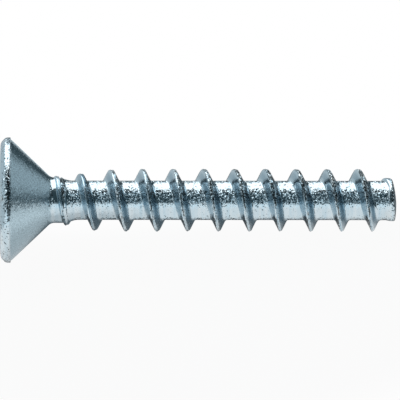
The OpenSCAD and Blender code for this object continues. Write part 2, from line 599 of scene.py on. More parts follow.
def polar_step(one: Pair, other: Pair, share: float) -> Pair:
    """Goes part of the way between two points: along the arc, or straight where the radius changes.

    Args:
        one: Radius and angle of the first point.
        other: Radius and angle of the second point.
        share: Share of the way, from 0 to 1.

    Returns:
        Radius and angle of the point between.
    """
    if abs(one[0] - other[0]) < NOTHING:
        return one[0], one[1] + (other[1] - one[1]) * share
    ends = [np.array([r * math.cos(angle), r * math.sin(angle)]) for r, angle in (one, other)]
    point = ends[0] + (ends[1] - ends[0]) * share
    return float(np.hypot(*point)), float(math.atan2(point[1], point[0]))


@dataclass(frozen=True)
class Lay:
    """How the screw lies in the frame: its start, its axis and the photograph's own directions."""

    origin: Vector
    along: Vector
    photo_up: Vector
    to_camera: Vector

    @classmethod
    def from_frame(cls, record: dict[str, Any], node: bpy.types.Object, thread: Thread) -> "Lay":
        """Reads the axis off the record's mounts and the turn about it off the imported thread.

        Args:
            record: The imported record.
            node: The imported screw.
            thread: The thread's sizes.

        Returns:
            The lay of the screw.
        """
        mount = next(m for m in record["mounts"] if m["name"] == "drive_recess")
        origin = Vector(mount["pos_m"])
        along = -Vector(mount["axis"]).normalized()
        level = Vector((0, 1, 0))
        upper = along.cross(level).normalized()
        upper = upper if upper.z > 0 else -upper
        count = len(node.data.vertices)
        flat = np.empty(count * 3)
        node.data.vertices.foreach_get("co", flat)
        points = (flat.reshape(-1, 3) - np.array(origin)) / MM
        z, y, x = (points @ np.array(axis) for axis in (along, level, upper))
        near_crest = 0.995 * thread.thread_d / 2
        full_height = thread.crest(np.array(3.0))
        crest = (np.hypot(x, y) > near_crest) & (z > full_height)
        turns = (z[crest] - thread.first_crest) / thread.pitch
        angle = np.arctan2(-y[crest], x[crest]) - TURN * turns
        roll = math.atan2(float(np.sin(angle).mean()), float(np.cos(angle).mean()))
        photo_up = upper * math.cos(roll) - level * math.sin(roll)
        to_camera = -(upper * math.sin(roll) + level * math.cos(roll))
        log.info("the screw leans %.2f degrees and is turned %.1f degrees about its axis",
                 math.degrees(math.asin(-along.z)), math.degrees(roll))
        return cls(origin, along, photo_up, to_camera)

    def measure(self, points: np.ndarray) -> tuple[np.ndarray, np.ndarray, np.ndarray]:
        """Turns points of the frame into places on the screw.

        Args:
            points: Points in metres, one in a row.

        Returns:
            Distances along the axis, to the photograph's upper side and to the camera, in millimetres.
        """
        axes = np.array([self.along, self.photo_up, self.to_camera])
        return tuple(((points - np.array(self.origin)) / MM @ axes.T).T)

    def place(self, along: np.ndarray, up: np.ndarray, near: np.ndarray) -> np.ndarray:
        """Turns places on the screw into points of the frame.

        Args:
            along: Distances from the flat top, in millimetres.
            up: Distances off the axis to the photograph's upper side.
            near: Distances off the axis to the camera.

        Returns:
            Points in metres, one in a row.
        """
        axes = np.array([self.along, self.photo_up, self.to_camera])
        return np.stack([along, up, near], axis=-1) @ axes * MM + np.array(self.origin)


@dataclass
class Skin:
    """Points and faces of one closed surface, gathered strip by strip."""

    points: list[np.ndarray] = field(default_factory=list)
    faces: list[tuple[int, ...]] = field(default_factory=list)
    count: int = 0

    def add(self, points: np.ndarray) -> np.ndarray:
        """Adds points.

        Args:
            points: Points in metres, one in a row.

        Returns:
            Their numbers.
        """
        self.points.append(points)
        numbers = np.arange(self.count, self.count + len(points))
        self.count += len(points)
        return numbers

    def strip(self, one: np.ndarray, other: np.ndarray) -> None:
        """Joins two closed rows of as many points."""
        rows = zip(one, np.roll(one, -1), np.roll(other, -1), other)
        self.faces.extend(tuple(int(i) for i in row) for row in rows)

    def fan(self, ring: np.ndarray, centre: np.ndarray) -> None:
        """Joins a closed row to one point."""
        middle = int(self.add(centre[None])[0])
        self.faces.extend((int(i), int(j), middle) for i, j in zip(ring, np.roll(ring, -1)))

    def fill(self, flat: np.ndarray, numbers: np.ndarray, rings: Sequence[Sequence[int]]) -> None:
        """Fills a flat face that has holes.

        Args:
            flat: Points as x and y.
            numbers: The same points' numbers in the skin.
            rings: The outer ring and the holes, as places in flat.
        """
        edges = [(ring[i], ring[(i + 1) % len(ring)]) for ring in rings for i in range(len(ring))]
        result = delaunay_2d_cdt([Vector(p) for p in flat], edges, [list(rings[0])], 0, NOTHING)
        holes = [flat[list(ring)] for ring in rings[1:]]
        for face in result[2]:
            corners = [result[3][i][0] for i in face]
            middle = flat[corners].mean(axis=0)
            if not any(encloses(hole, middle) for hole in holes):
                self.faces.append(tuple(int(numbers[i]) for i in corners))

    def to_object(self, name: str, sharp_deg: float) -> bpy.types.Object:
        """Makes the object, closed and with its faces turned outwards.

        Args:
            name: Name of the object.
            sharp_deg: Edges bent by more than this angle stay sharp.

        Returns:
            The new object, linked to the scene.
        """
        mesh = bpy.data.meshes.new(name)
        mesh.from_pydata([tuple(p) for p in np.concatenate(self.points)], [], self.faces)
        work = bmesh.new()
        work.from_mesh(mesh)
        bmesh.ops.remove_doubles(work, verts=work.verts, dist=WELD)
        bmesh.ops.dissolve_degenerate(work, edges=work.edges, dist=SLIVER)
        bmesh.ops.recalc_face_normals(work, faces=work.faces)
        open_edges = sum(1 for edge in work.edges if not edge.is_manifold)
        work.to_mesh(mesh)
        work.free()
        mesh.shade_smooth()
        mesh.set_sharp_from_angle(angle=math.radians(sharp_deg))
        log.info("%s has %d open edges", name, open_edges)
        piece = bpy.data.objects.new(name, mesh)
        bpy.context.scene.collection.objects.link(piece)
        return piece


def encloses(outline: np.ndarray, point: np.ndarray) -> bool:
    """Tells whether an outline goes round a point.

    Args:
        outline: Corners as x and y.
        point: The point.

    Returns:
        True if the point is inside.
    """
    after = np.roll(outline, -1, axis=0)
    rises = (outline[:, 1] > point[1]) != (after[:, 1] > point[1])
    run = np.where(rises, after[:, 1] - outline[:, 1], 1.0)
    cross = outline[:, 0] + (point[1] - outline[:, 1]) * (after[:, 0] - outline[:, 0]) / run
    return bool(np.count_nonzero(rises & (cross > point[0])) % 2)


@dataclass
class WearAndShadeMap:
    """How strong each kind of wear and painted shade is at each point, worked out from the point's place.

    Angles are in turns: 0 is the photograph's upper side, 0.25 faces the camera, 0.5 is the lower side.
    Lengths are in millimetres. A pair of numbers is where a soft change begins or ends and how long it is.
    """

    blank: Blank
    thread: Thread
    along: np.ndarray
    radius: np.ndarray
    phase: np.ndarray

    # Masks: the core between crests, the crests, the lower side, the rim and the dull streak.
    core_off: Pair = (0.4, 0.15)
    crest_r: Pair = (1.88, 0.08)
    bottom_turn: Pair = (0.335, 0.03)
    rim_fade: float = 0.05
    streak_band: Band = Band(0.232, 0.05, 0.02)

    # Pits, as shares; the flanks have one share on the head's side and one on the tip's.
    top_depth: float = 0.02
    plain_pits: float = 0.24
    cone_pits: float = 0.14
    rim_pits: float = 0.6
    flank_pits: Pair = (0.04, 0.12)
    flank_split: float = -0.08
    crest_pits: float = 0.5
    tip_pits: float = 0.3
    tip_inset: float = -0.15
    tip_pitted: Pair = (0.4, 0.15)
    tip_pitted_r: Pair = (-0.2, 0.1)
    scale_seams: tuple[tuple[Band, float], ...] = ((Band(0.22, 0.065, 0.03), 1.0),
                                                   (Band(0.455, 0.05, 0.03), 0.7),
                                                   (Band(0.045, 0.03, 0.03), 0.7))

    # Matt band on the camera side, its tint painted shade; darker flanks, partly painted shade;
    # brown wear, and a painted-shade line on the crests' seams.
    streak_matt: float = 0.8
    streak_deep: float = 0.5
    flank_r: Pair = (0.08, 0.15)
    flank_end_r: Pair = (1.9, 0.2)
    deep_turn: float = 0.5
    deep_along: float = 0.5
    head_side_deep: float = 0.5
    tip_side_off: Pair = (-0.05, 0.1)
    lower_turn: Pair = (0.37, 0.06)
    lower_r: Pair = (1.4, 0.2)
    lower_loss: float = 0.7
    seam_half: Pair = (0.055, 0.03)
    seam_r: Pair = (1.8, 0.08)
    seam_loss: float = 0.8
    tip_rubbed: Pair = (0.2, 0.1)

    # Black specks, a little scale and mostly painted shade: on the core, the upper crests, the rim, under
    # and over the crests, on the tip and in the lip's groove.
    lit_specks: float = 0.1
    highlight: Band = Band(0.07, 0.11, 0.02)
    highlight_specks: float = 0.12
    border: Band = Band(0.168, 0.03, 0.02)
    border_specks: float = 0.55
    low_side: Band = Band(0.5, 0.08, 0.03)
    low_specks: float = 0.6
    crest_shade_along: Pair = (11.5, 2.5)
    crest_shade_side: Band = Band(0.08, 0.2, 0.05)
    crest_shade_specks: float = 0.8
    rim_specks: float = 0.3
    rim_start: Pair = (0.04, 0.05)
    rim_r: Pair = (3.5, 0.1)
    rim_line_along: Pair = (0.44, 0.06)
    rim_line: Band = Band(0.247, 0.068, 0.012)
    rim_low: Band = Band(0.5, 0.055, 0.02)
    rim_low_specks: float = 0.8
    under_specks: float = 1.3
    under_r: Pair = (0.25, 0.1)
    under_start: Pair = (-0.4, 0.1)
    under_end: Pair = (-0.005, 0.025)
    over_specks: float = 0.95
    over_r: Pair = (0.06, 0.1)
    over_start: Pair = (0.07, 0.03)
    over_end: Pair = (0.62, 0.1)
    over_side: Band = Band(0.06, 0.2, 0.05)
    tip_specks: float = 1.1
    tip_line: Pair = (0.13, 0.06)
    tip_line_r: Pair = (-0.12, 0.06)
    tip_shade_reach: Pair = (0.36, 0.1)
    tip_shade_specks: float = 0.8
    tip_side: Band = Band(0.16, 0.13, 0.05)
    groove_specks: float = 0.7

    def __post_init__(self) -> None:
        """Finds the crest nearest to each point, and the masks that several kinds of wear share."""
        self.beside = np.full(len(self.along), np.inf)
        self.nearest = np.zeros(len(self.along))
        for turn in range(-1, math.ceil(self.thread.last_turn) + 1):
            off = self.along - self.thread.crest(turn + self.phase)
            closer = np.abs(off) < np.abs(self.beside)
            self.beside = np.where(closer, off, self.beside)
            self.nearest = np.where(closer, turn + self.phase, self.nearest)
        self.shank = self.along > self.blank.cone_end
        self.core = rise(np.abs(self.beside), *self.core_off)
        self.crest = rise(self.radius, *self.crest_r) * self.shank
        self.bottom = rise(self.phase, *self.bottom_turn)
        self.rim = fall(self.along, self.blank.rim_end + self.rim_fade, self.rim_fade)
        # Painted shade: the band runs down the side facing the camera, where the metal mirrors the dark
        # room, and tints it darker and bluer.
        self.streak_and_shade = self.core * self.streak_band.share(self.phase)

    def proud(self, start: float, over: float) -> np.ndarray:
        """Works out where the surface stands out of the core."""
        return rise(self.radius, self.blank.core_r + start, over)

    def near_tip(self, before: float, over: float) -> np.ndarray:
        """Works out where the shank comes close to the tip."""
        return rise(self.along, self.blank.length - before, over) * self.shank

    def pitted(self) -> np.ndarray:
        """Works out the pits: most on the core's seams of scale, the crests, the rim and the tip's edge.

        Returns:
            Share of pits at each point.
        """
        scale = np.max([share * seam.share(self.phase) for seam, share in self.scale_seams], axis=0)
        scaled = self.plain_pits + (1 - self.plain_pits) * scale
        flat = np.where(self.beside < self.flank_split, *self.flank_pits)
        shank = np.maximum(flat + self.core * (scaled - flat), self.crest * self.crest_pits)
        head = self.cone_pits + (self.rim_pits * scaled - self.cone_pits) * self.rim
        pitted = np.where(self.shank, shank, head)
        pitted = np.where(self.along < self.top_depth, self.plain_pits, pitted)
        pitted = np.maximum(pitted, self.near_tip(*self.tip_pitted) * self.proud(*self.tip_pitted_r))
        tip_face = self.shank & (self.radius < self.blank.core_r + self.tip_inset)
        return np.where(tip_face, self.tip_pits, pitted)

    def matted(self) -> np.ndarray:
        """Works out where the cone is matt from the die, and the core's matt band, tinted as painted shade.
        """
        return np.where(self.shank, self.streak_matt * self.streak_and_shade, 1.0 - self.rim)

    def flank_plating_and_shade(self) -> np.ndarray:
        """Works out the darker flanks and camera-side band: bluer plating in part, and painted shade, half
        as strong on the head's side and fading on the lower side.

        Returns:
            Share of the darker colour at each point.
        """
        # Painted shade: the flanks are darkened where light bouncing between the ridges would show, half as
        # much on the head's side and less on the lower side.
        flank_plating_and_shade = self.proud(*self.flank_r) * fall(self.radius, *self.flank_end_r)
        flank_plating_and_shade *= rise(self.along, self.thread.crest(np.array(self.deep_turn)), self.deep_along)
        flank_plating_and_shade *= self.head_side_deep + (1 - self.head_side_deep) * rise(self.beside, *self.tip_side_off)
        flank_plating_and_shade = np.where(self.shank, np.maximum(flank_plating_and_shade, self.streak_deep * self.streak_and_shade), flank_plating_and_shade)
        lower = rise(np.abs(self.phase), *self.lower_turn) * rise(self.radius, *self.lower_r)
        return flank_plating_and_shade * (1 - self.lower_loss * lower)

    def rubbed_and_shaded(self) -> np.ndarray:
        """Works out the brown wear on the tip's edge, and the dark line on the crests' seams: painted shade,
        fading on the lower side.

        Returns:
            Share of the brown at each point.
        """
        # Painted shade: a dark line along each crest's seam, mostly left off the lower side, where the
        # crests catch the light.
        seam = fall(np.abs(self.beside - self.thread.seam(self.nearest)), *self.seam_half)
        seam *= rise(self.radius, *self.seam_r) * self.shank * (1 - self.seam_loss * self.bottom)
        return np.maximum(seam, self.near_tip(*self.tip_rubbed))

    def scaled(self) -> np.ndarray:
        """Works out the black specks: a little scale, and mostly painted shade on the core, the crests, the
        rim, the grooves and the tip.

        Returns:
            Density of the black specks at each point.
        """
        lower = np.abs(self.phase)
        # Painted shade on the core: specks along the highlight, thickest at its lower border and on the
        # lower side.
        core = np.maximum(self.lit_specks + self.highlight_specks * self.highlight.share(self.phase),
                          self.border_specks * self.border.share(self.phase))
        core = np.maximum(core, self.low_specks * self.low_side.share(lower)) * self.core * self.shank
        # Painted shade: upper crests darkened towards the tip.
        crest_shade = self.crest_shade_specks * self.crest * self.crest_shade_side.share(self.phase)
        crest_shade *= rise(self.along, *self.crest_shade_along)
        # Painted shade on the rim: a dark line on the camera side near the cone, the lower edge darker,
        # sparse specks elsewhere.
        line = rise(self.along, *self.rim_line_along) * self.rim_line.share(self.phase)
        rim = np.maximum(np.maximum(line, self.rim_low_specks * self.rim_low.share(lower)), self.rim_specks)
        rim *= self.rim * rise(self.along, *self.rim_start) * rise(self.radius, *self.rim_r)
        # Painted shade: a dark line on the head's side of each crest, on the lower side.
        under = self.under_specks * self.shank * self.bottom * self.proud(*self.under_r)
        under *= fall(self.beside, *self.under_end) * rise(self.beside, *self.under_start)
        # Painted shade: the tip's side of the flanks darkened on the upper side.
        over = self.over_specks * self.shank * self.proud(*self.over_r) * self.over_side.share(self.phase)
        over *= rise(self.beside, *self.over_start) * fall(self.beside, *self.over_end)
        # Painted shade: a dark line round the tip's edge and a dark patch beside it on the upper side.
        tip_shade = self.tip_shade_specks * self.near_tip(*self.tip_shade_reach) * self.tip_side.share(self.phase)
        tip = self.tip_specks * np.maximum(self.near_tip(*self.tip_line), tip_shade)
        tip *= self.proud(*self.tip_line_r)
        # Painted shade: dark in the groove beside the first turn's lip.
        turns = [turn + self.phase for turn in range(-1, 2)]
        grooves = [self.groove_specks * self.thread.groove(turn, self.along - self.thread.crest(turn))
                   for turn in turns]
        return np.max([core, crest_shade, rim, under, over, tip, *grooves], axis=0)


@dataclass
class Screw:
    """The whole screw as one surface: head, recess, neck, threaded shank and tip."""

    lay: Lay
    blank: Blank
    thread: Thread
    recess: Recess
    columns: int = 144
    grid_start: float = 2.6
    tip_round: float = 0.09
    tip_rings: int = 7
    tip_shares: tuple[float, ...] = (0.9, 0.75, 0.55, 0.35, 0.15)
    cone_rows: tuple[float, ...] = (0.76, 1.2, 1.9)
    sharp_deg: float = 38.0
    offsets: tuple[float, ...] = (0.013, 0.028, 0.046, 0.066, 0.092, 0.12, 0.15, 0.18, 0.21, 0.24, 0.27, 0.3,
                                  0.34, 0.38, 0.42, 0.47, 0.53, 0.62, 0.75, 0.9)

    def __post_init__(self) -> None:
        """Sets the angles that every ring shares."""
        self.phase = np.arange(self.columns) / self.columns
        self.up = np.cos(TURN * self.phase)
        self.near = np.sin(TURN * self.phase)

    def ring(self, skin: Skin, along: np.ndarray, radius: np.ndarray) -> np.ndarray:
        """Adds one ring of points round the axis.

        Args:
            skin: The surface in work.
            along: Distance from the flat top at each column.
            radius: Radius at each column.

        Returns:
            The points' numbers.
        """
        along = np.broadcast_to(along, self.columns)
        return skin.add(self.lay.place(along, radius * self.up, radius * self.near))

    def build(self) -> bpy.types.Object:
        """Builds the screw's surface, paints its wear and painted shade, and gives it its plating.

        Returns:
            The finished object.
        """
        skin = Skin()
        rings = [self.ring(skin, np.array(z), np.full(self.columns, r)) for z, r in self.blank.rim_outline()]
        self.build_top(skin, rings[0])
        for along in (*self.cone_rows, self.grid_start):
            radius = self.thread.radius(np.full(self.columns, along), self.phase)
            rings.append(self.ring(skin, np.array(along), radius))
        for one, other in zip(rings, rings[1:]):
            skin.strip(one, other)
        self.build_tip(skin, self.build_shank(skin, rings[-1]))
        body = skin.to_object("screw_body", self.sharp_deg)
        self.paint_wear_and_shade(body.data)
        body.data.materials.append(ZincPlating().material(self.lay))
        return body

    def paint_wear_and_shade(self, mesh: bpy.types.Mesh) -> None:
        """Paints every kind of wear and the painted shade on the points of the screw.

        Args:
            mesh: The screw's mesh.
        """
        flat = np.empty(len(mesh.vertices) * 3)
        mesh.vertices.foreach_get("co", flat)
        along, up, near = self.lay.measure(flat.reshape(-1, 3))
        wear = WearAndShadeMap(self.blank, self.thread, along, np.hypot(up, near), np.arctan2(near, up) / TURN)
        for kind, values in ((WearAndShade.PITTED, wear.pitted()), (WearAndShade.MATTED, wear.matted()),
                             (WearAndShade.FLANK_PLATING_AND_SHADE, wear.flank_plating_and_shade()), (WearAndShade.RUBBED_AND_SHADED, wear.rubbed_and_shaded()),
                             (WearAndShade.SCALED, wear.scaled())):
            mesh.attributes.new(kind.value, "FLOAT", "POINT").data.foreach_set("value", values)

    def build_shank(self, skin: Skin, first: np.ndarray) -> np.ndarray:
        """Lays a grid whose rows follow the crest, from the cone to the edge of the tip.

        Args:
            skin: The surface in work.
            first: The last ring on the cone. Not used.

        Returns:
            The numbers of the last ring's points.
        """
        shares = sorted({sign * off / self.thread.pitch for off in (0.0, *self.offsets) for sign in (-1, 1)})
        whole = range(-3, math.ceil(self.thread.last_turn) + 2)
        turns = np.array([turn + share for turn in whole for share in shares])
        edge = self.tip_edge()
        rows = []
        for turn in turns:
            along = np.clip(self.thread.crest(turn + self.phase), self.grid_start, edge)
            rows.append(self.ring(skin, along, self.thread.radius(along, self.phase)).tolist())
        step = len(shares)
        for i, (row, after) in enumerate(zip(rows, rows[1:])):
            skin.faces.extend(zip(row, row[1:], after[1:], after))
            if i + 1 + step < len(rows):
                skin.faces.append((row[-1], rows[i + step][0], rows[i + 1 + step][0], after[-1]))
        return self.ring(skin, edge, self.thread.radius(edge, self.phase))

    def tip_edge(self) -> np.ndarray:
        """Works out where the rounding of the tip's edge begins, at each column."""
        radius = np.full(self.columns, self.blank.core_r + self.blank.collar_h)
        return self.blank.tip_height(radius * self.near, -radius * self.up) - self.tip_round

    def build_tip(self, skin: Skin, last: np.ndarray) -> None:
        """Rounds the edge of the tip and closes its domed end.

        Args:
            skin: The surface in work.
            last: The shank's last ring.
        """
        edge = self.tip_edge()
        radius = self.thread.radius(edge, self.phase)
        ring = last
        for i in range(1, self.tip_rings):
            bend = math.pi / 2 * i / (self.tip_rings - 1)
            inner = radius - self.tip_round * (1 - math.cos(bend))
            height = self.blank.tip_height(inner * self.near, -inner * self.up)
            along = edge + (height - edge) * math.sin(bend)
            new = self.ring(skin, along, inner)
            skin.strip(ring, new)
            ring = new
        rim = radius - self.tip_round
        for share in self.tip_shares:
            inner = rim * share
            new = self.ring(skin, self.blank.tip_height(inner * self.near, -inner * self.up), inner)
            skin.strip(ring, new)
            ring = new
        centre = self.blank.tip_height(np.zeros(1), np.zeros(1))
        skin.fan(ring, self.lay.place(centre, np.zeros(1), np.zeros(1))[0])

    def build_top(self, skin: Skin, rim: np.ndarray) -> None:
        """Fills the flat top round the recess and the marks, and sinks both into it.

        Args:
            skin: The surface in work.
            rim: The ring at the edge of the flat top.
        """
        first = self.blank.rim_outline()[0][1]
        circle = np.stack([first * self.up, first * self.near], axis=-1)
        cross = self.recess.outline(0.0, self.recess.edge)
        marks = [self.recess.mark(quarter) for quarter in range(4)]
        flat = np.concatenate([circle, cross, *marks])
        numbers = [rim]
        rings = [list(range(self.columns))]
        for outline in [cross, *marks]:
            start = rings[-1][-1] + 1
            rings.append(list(range(start, start + len(outline))))
            numbers.append(self.sheet(skin, outline, 0.0))
        skin.fill(flat, np.concatenate(numbers), rings)
        self.sink_recess(skin, numbers[1])
        for ring, outline in zip(numbers[2:], marks):
            floor = self.sheet(skin, outline, self.recess.mark_depth)
            skin.strip(ring, floor)
            skin.faces.append(tuple(int(i) for i in floor))

    def sheet(self, skin: Skin, outline: np.ndarray, depth: float) -> np.ndarray:
        """Adds an outline at one depth under the flat top.

        Args:
            skin: The surface in work.
            outline: Points as x and y.
            depth: Depth in millimetres.

        Returns:
            The points' numbers.
        """
        return skin.add(self.lay.place(np.full(len(outline), depth), outline[:, 0], outline[:, 1]))

    def sink_recess(self, skin: Skin, mouth: np.ndarray) -> None:
        """Lofts the recess from its mouth down to its pointed floor.

        Args:
            skin: The surface in work.
            mouth: The outline's numbers at the flat top.
        """
        recess = self.recess
        steps = [(depth, recess.edge * share) for depth, share in recess.edge_steps]
        steps += [(depth, 0.0) for depth in (*recess.wall_depths, recess.depth - recess.floor_round)]
        ring = mouth
        for depth, grow in steps:
            new = self.sheet(skin, recess.outline(depth, grow), depth)
            skin.strip(ring, new)
            ring = new
        low = recess.outline(recess.depth)
        reach = np.hypot(low[:, 0], low[:, 1])
        floor_r = reach.min() * recess.floor_share
        floors = [(np.full(len(low), recess.floor_share), 0.0)]
        floors += [(floor_r * share / reach, depth) for share, depth in recess.floor_cone]
        for scale, depth in floors:
            new = self.sheet(skin, low * scale[:, None], recess.depth + depth)
            skin.strip(ring, new)
            ring = new
        centre = self.lay.place(np.array([recess.depth + recess.floor_point]), np.zeros(1), np.zeros(1))[0]
        skin.fan(ring, centre)


def add_node(tree: Tree, kind: str, settings: dict[str, Any] | None = None, **links: Any) -> bpy.types.Node:
    """Adds a node with its settings and links.

    Args:
        tree: The node tree.
        kind: The node's type, without the word ShaderNode.
        settings: Values for the node's own properties.
        **links: A value or an output for each input, its spaces written as underscores; at_1 means the
            input of that number.

    Returns:
        The new node.
    """
    node = tree.nodes.new("ShaderNode" + kind)
    for name, value in (settings or {}).items():
        setattr(node, name, value)
    for name, value in links.items():
        head, _, tail = name.rpartition("_")
        place = node.inputs[int(tail)] if head == "at" else node.inputs[name.replace("_", " ")]
        if isinstance(value, Socket):
            tree.links.new(value, place)
        else:
            place.default_value = value
    return node


def new_tree(name: str) -> tuple[bpy.types.Material, Tree]:
    """Makes an empty material.

    Args:
        name: Name of the material.

    Returns:
        The material and its cleared node tree.
    """
    material = bpy.data.materials.new(name)
    material.use_nodes = True
    material.node_tree.nodes.clear()
    return material, material.node_tree


@dataclass(frozen=True)
class Pattern:
    """Lumps on the plating: their size, their detail, the range of them that counts and what it becomes."""

    size_mm: float
    detail: float
    ends: Pair
    levels: Pair = (0.0, 1.0)

    def spread(self, tree: Tree, place: Socket) -> Socket:
        """Spreads the lumps over the surface.

        Args:
            tree: The node tree.
            place: Place on the screw in millimetres.

        Returns:
            The pattern's value.
        """
        lumps = add_node(tree, "TexNoise", Vector=place, Scale=1 / self.size_mm, Detail=self.detail)
        spread = add_node(tree, "MapRange", Value=lumps.outputs["Fac"], From_Min=self.ends[0],
                          From_Max=self.ends[1], To_Min=self.levels[0], To_Max=self.levels[1])
        return spread.outputs["Result"]


@dataclass(frozen=True)
class ZincPlating:
    """Cold-forged steel, thread-rolled, then zinc plated and passivated blue in a barrel.

    The plating is bright, so the lamps show as hard white patches beside dark ones. The wire's scale and
    the barrel leave fine pits that break the edges of those patches into specks, and the clear passivation
    gives a cold blue cast with traces of straw. The real pits and the grain of the forged cone are a few
    hundredths of a millimetre, and are drawn a little coarser so that they show.
    """

    straw: Pattern = Pattern(1.4, 3.0, (0.6, 0.8), (0.0, 0.6))
    # Marks of the dies, narrow along the axis and long across it.
    streak_mm: Triple = (0.22, 2.5, 2.5)
    streaks: Pattern = Pattern(1.0, 3.0, (0.35, 0.7))
    grain: Pattern = Pattern(0.085, 3.0, (0.35, 0.65), (0.84, 1.16))
    flecks: Pattern = Pattern(0.25, 2.0, (0.42, 0.62), (0.0, 0.85))
    speck_mm: float = 0.14
    speck_weight: float = 0.27
    speck_ends: Pair = (0.67, 0.73)
    speck_share: float = 0.9
    speck_fade: float = 0.1
    pit_mm: float = 0.058
    pit_tilt: float = 0.9
    pit_spread: float = 2.0
    dent_mm: float = 0.5
    dent_depth_mm: float = 0.03
    roughness: float = 0.17
    cast_roughness: float = 0.26
    root_roughness: float = 0.42

    def material(self, lay: Lay) -> bpy.types.Material:
        """Makes the material.

        Args:
            lay: The lay of the screw, whose axis the die marks ring.

        Returns:
            The plated steel.
        """
        material, tree = new_tree("zinc_plated_steel")
        wear = {kind: add_node(tree, "Attribute", {"attribute_name": kind.value}).outputs["Fac"]
                for kind in WearAndShade}
        place = add_node(tree, "TexCoord").outputs["Object"]
        slope = math.atan2(-lay.along.z, lay.along.x)
        place = add_node(tree, "Mapping", Vector=place, Rotation=(0, -slope, 0),
                         Scale=(1 / MM, 1 / MM, 1 / MM)).outputs["Vector"]
        rough = add_node(tree, "MapRange", Value=wear[WearAndShade.MATTED], To_Min=self.roughness,
                         To_Max=self.cast_roughness).outputs["Result"]
        root = add_node(tree, "MapRange", Value=wear[WearAndShade.FLANK_PLATING_AND_SHADE], To_Max=self.root_roughness)
        rough = add_node(tree, "Math", {"operation": "MAXIMUM"}, at_0=rough,
                         at_1=root.outputs["Result"]).outputs[0]
        shader = add_node(tree, "BsdfPrincipled", Base_Color=self.colour(tree, place, wear), Metallic=1.0,
                          Roughness=rough, Normal=self.normal(tree, place, wear[WearAndShade.PITTED]))
        add_node(tree, "OutputMaterial", Surface=shader.outputs[0])
        return material

    def colour(self, tree: Tree, place: Socket, wear: dict[WearAndShade, Socket]) -> Socket:
        """Lays the colours over each other: blue streaks, straw clouds, then each kind of wear and painted
        shade.

        Args:
            tree: The node tree.
            place: Place on the screw in millimetres.
            wear: The painted wear and shade.

        Returns:
            The colour.
        """
        ringed = add_node(tree, "Mapping", Vector=place, Scale=tuple(1 / mm for mm in self.streak_mm))
        blue = self.streaks.spread(tree, ringed.outputs["Vector"])
        cast = add_node(tree, "VectorMath", {"operation": "SCALE"}, at_0=linear(Shade.ZINC_CAST)[:3],
                        Scale=self.grain.spread(tree, place)).outputs[0]
        rubbed_and_shaded = add_node(tree, "Math", {"operation": "MULTIPLY"}, at_0=wear[WearAndShade.RUBBED_AND_SHADED],
                          at_1=self.flecks.spread(tree, place)).outputs[0]
        # The flank, brown and black layers carry painted shade as well as wear.
        layers = ((blue, linear(Shade.ZINC_BLUE)), (self.straw.spread(tree, place), linear(Shade.ZINC_WARM)),
                  (wear[WearAndShade.FLANK_PLATING_AND_SHADE], linear(Shade.ZINC_DEEP_AND_SHADE)), (wear[WearAndShade.MATTED], cast),
                  (rubbed_and_shaded, linear(Shade.ZINC_RUBBED_AND_SHADE)),
                  (self.black(tree, place, wear[WearAndShade.SCALED]), linear(Shade.SCALE)))
        colour = linear(Shade.ZINC)
        for share, layer in layers:
            mix = add_node(tree, "Mix", {"data_type": "RGBA"}, at_0=share, at_6=colour, at_7=layer)
            colour = mix.outputs[2]
        return colour

    def black(self, tree: Tree, place: Socket, scaled: Socket) -> Socket:
        """Breaks the black scale and painted shade into specks, denser where the mask is stronger.

        Args:
            tree: The node tree.
            place: Place on the screw in millimetres.
            scaled: Density of the specks.

        Returns:
            Share of black.
        """
        specks = add_node(tree, "TexNoise", Vector=place, Scale=1 / self.speck_mm, Detail=2.0).outputs["Fac"]
        specks = add_node(tree, "Math", {"operation": "MULTIPLY_ADD"}, at_0=scaled, at_1=self.speck_weight,
                          at_2=specks).outputs[0]
        specks = add_node(tree, "MapRange", Value=specks, From_Min=self.speck_ends[0],
                          From_Max=self.speck_ends[1], To_Max=self.speck_share).outputs["Result"]
        some = add_node(tree, "MapRange", Value=scaled, From_Max=self.speck_fade).outputs["Result"]
        return add_node(tree, "Math", {"operation": "MULTIPLY"}, at_0=some, at_1=specks).outputs[0]

    def normal(self, tree: Tree, place: Socket, pitted: Socket) -> Socket:
        """Leans the surface in each pit its own way, a few of them far, over a bed of soft dents.

        Args:
            tree: The node tree.
            place: Place on the screw in millimetres.
            pitted: Share of pits.

        Returns:
            The direction of the surface.
        """
        dents = add_node(tree, "TexNoise", Vector=place, Scale=1 / self.dent_mm, Detail=1.0).outputs["Fac"]
        dented = add_node(tree, "Bump", Height=dents, Distance=self.dent_depth_mm * MM, Strength=pitted)
        pits = add_node(tree, "TexVoronoi", Vector=place, Scale=1 / self.pit_mm).outputs["Color"]
        lean = add_node(tree, "VectorMath", {"operation": "SUBTRACT"}, at_0=pits,
                        at_1=(0.5, 0.5, 0.5)).outputs[0]
        depth = add_node(tree, "VectorMath", {"operation": "LENGTH"}, at_0=lean).outputs["Value"]
        depth = add_node(tree, "Math", {"operation": "DIVIDE"}, at_0=depth, at_1=0.5).outputs[0]
        depth = add_node(tree, "Math", {"operation": "POWER"}, at_0=depth, at_1=self.pit_spread).outputs[0]
        amount = add_node(tree, "Math", {"operation": "MULTIPLY"}, at_0=pitted,
                          at_1=self.pit_tilt).outputs[0]
        amount = add_node(tree, "Math", {"operation": "MULTIPLY"}, at_0=amount, at_1=depth).outputs[0]
        lean = add_node(tree, "VectorMath", {"operation": "SCALE"}, at_0=lean, Scale=amount).outputs[0]
        leant = add_node(tree, "VectorMath", {"operation": "ADD"}, at_0=dented.outputs["Normal"], at_1=lean)
        return add_node(tree, "VectorMath", {"operation": "NORMALIZE"}, at_0=leant.outputs[0]).outputs[0]


